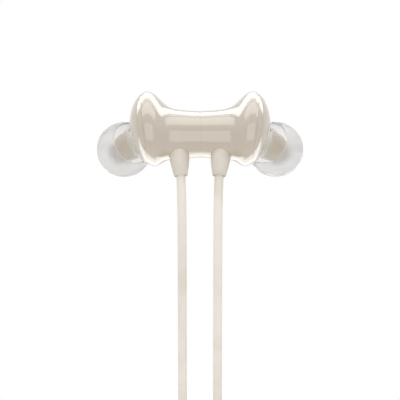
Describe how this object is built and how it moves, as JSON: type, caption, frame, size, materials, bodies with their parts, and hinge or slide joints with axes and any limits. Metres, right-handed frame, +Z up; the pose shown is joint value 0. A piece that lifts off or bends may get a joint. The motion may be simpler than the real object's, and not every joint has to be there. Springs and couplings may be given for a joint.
{
  "type": "neckband earphones",
  "caption": "Wireless neckband earphones with two magnetically docking earbuds, a battery pod and a control pod with buttons and USB-C port.",
  "frame": {"origin": "on the table under the buds' docking faces, at the bottom centre of the object without its cables", "axes": "+X to the wearer's control pod, +Y from the open end towards the back of the neck, +Z up from the table, the neckband lying flat"},
  "size_m": [0.1524, 0.2058, 0.0227],
  "materials": {
    "cream_gloss": "cream moulded ABS, polished",
    "ear_silicone": "translucent silicone",
    "neck_silicone": "soft-touch silicone",
    "cable_tpe": "matte TPE",
    "steel": "bright",
    "magnet_nickel": "nickel plated",
    "diaphragm_film": "polyester film",
    "mesh_black": "woven acoustic cloth",
    "circuit_board": "solder mask",
    "cell_foil": "laminated foil",
    "black_plastic": "moulded",
    "light_pipe": "clear acrylic"
  },
  "bodies": {
    "neckband": {"left_cable": "cable_tpe", "left_pod_lower_shell": "cream_gloss", "left_pod_upper_shell": "cream_gloss", "left_pod_boot": "cable_tpe", "right_cable": "cable_tpe", "right_pod_lower_shell": "cream_gloss", "right_pod_upper_shell": "cream_gloss", "right_pod_boot": "cable_tpe", "neck_sleeve": "neck_silicone", "memory_wire": "steel", "wire_harness": "black_plastic", "battery_cell": "cell_foil", "protection_board": "circuit_board", "main_board": "circuit_board", "bluetooth_module": "steel", "microphone": "steel", "usb_c_socket": "steel", "status_light": "light_pipe", "volume_up_switch": "black_plastic", "play_switch": "black_plastic", "volume_down_switch": "black_plastic"},
    "left_bud": {"left_rear_housing": "cream_gloss", "left_front_housing": "cream_gloss", "left_dock_magnet": "magnet_nickel", "left_driver_basket": "steel", "left_driver_diaphragm": "diaphragm_film", "left_nozzle_mesh": "steel", "left_vent_mesh": "mesh_black", "left_cable_boot": "cable_tpe"},
    "right_bud": {"right_rear_housing": "cream_gloss", "right_front_housing": "cream_gloss", "right_dock_magnet": "magnet_nickel", "right_driver_basket": "steel", "right_driver_diaphragm": "diaphragm_film", "right_nozzle_mesh": "steel", "right_vent_mesh": "mesh_black", "right_cable_boot": "cable_tpe"},
    "left_tip": {"left_ear_tip": "ear_silicone"},
    "right_tip": {"right_ear_tip": "ear_silicone"},
    "volume_up": {"volume_up_button": "cream_gloss"},
    "play": {"play_button": "cream_gloss"},
    "volume_down": {"volume_down_button": "cream_gloss"}
  },
  "joints": [
    {"name": "left_bud_undock", "type": "slide", "parent": "neckband", "child": "left_bud", "axis": [-1, 0, 0], "range_m": [0, 0.015], "deforming": ["left_cable"]},
    {"name": "right_bud_undock", "type": "slide", "parent": "neckband", "child": "right_bud", "axis": [1, 0, 0], "range_m": [0, 0.015], "deforming": ["right_cable"]},
    {"name": "left_tip_pull_off", "type": "slide", "parent": "left_bud", "child": "left_tip", "axis": [-0.5403, -0.3902, -0.7455], "range_m": [0, 0.005]},
    {"name": "right_tip_pull_off", "type": "slide", "parent": "right_bud", "child": "right_tip", "axis": [0.5403, -0.3902, -0.7455], "range_m": [0, 0.005]},
    {"name": "volume_up_press", "type": "slide", "parent": "neckband", "child": "volume_up", "axis": [0, 0, -1], "range_m": [0, 0.00035], "stiffness_N_per_m": 600, "springref_m": -0.0004},
    {"name": "play_press", "type": "slide", "parent": "neckband", "child": "play", "axis": [0, 0, -1], "range_m": [0, 0.00035], "stiffness_N_per_m": 600, "springref_m": -0.0004},
    {"name": "volume_down_press", "type": "slide", "parent": "neckband", "child": "volume_down", "axis": [0, 0, -1], "range_m": [0, 0.00035], "stiffness_N_per_m": 600, "springref_m": -0.0004}
  ]
}
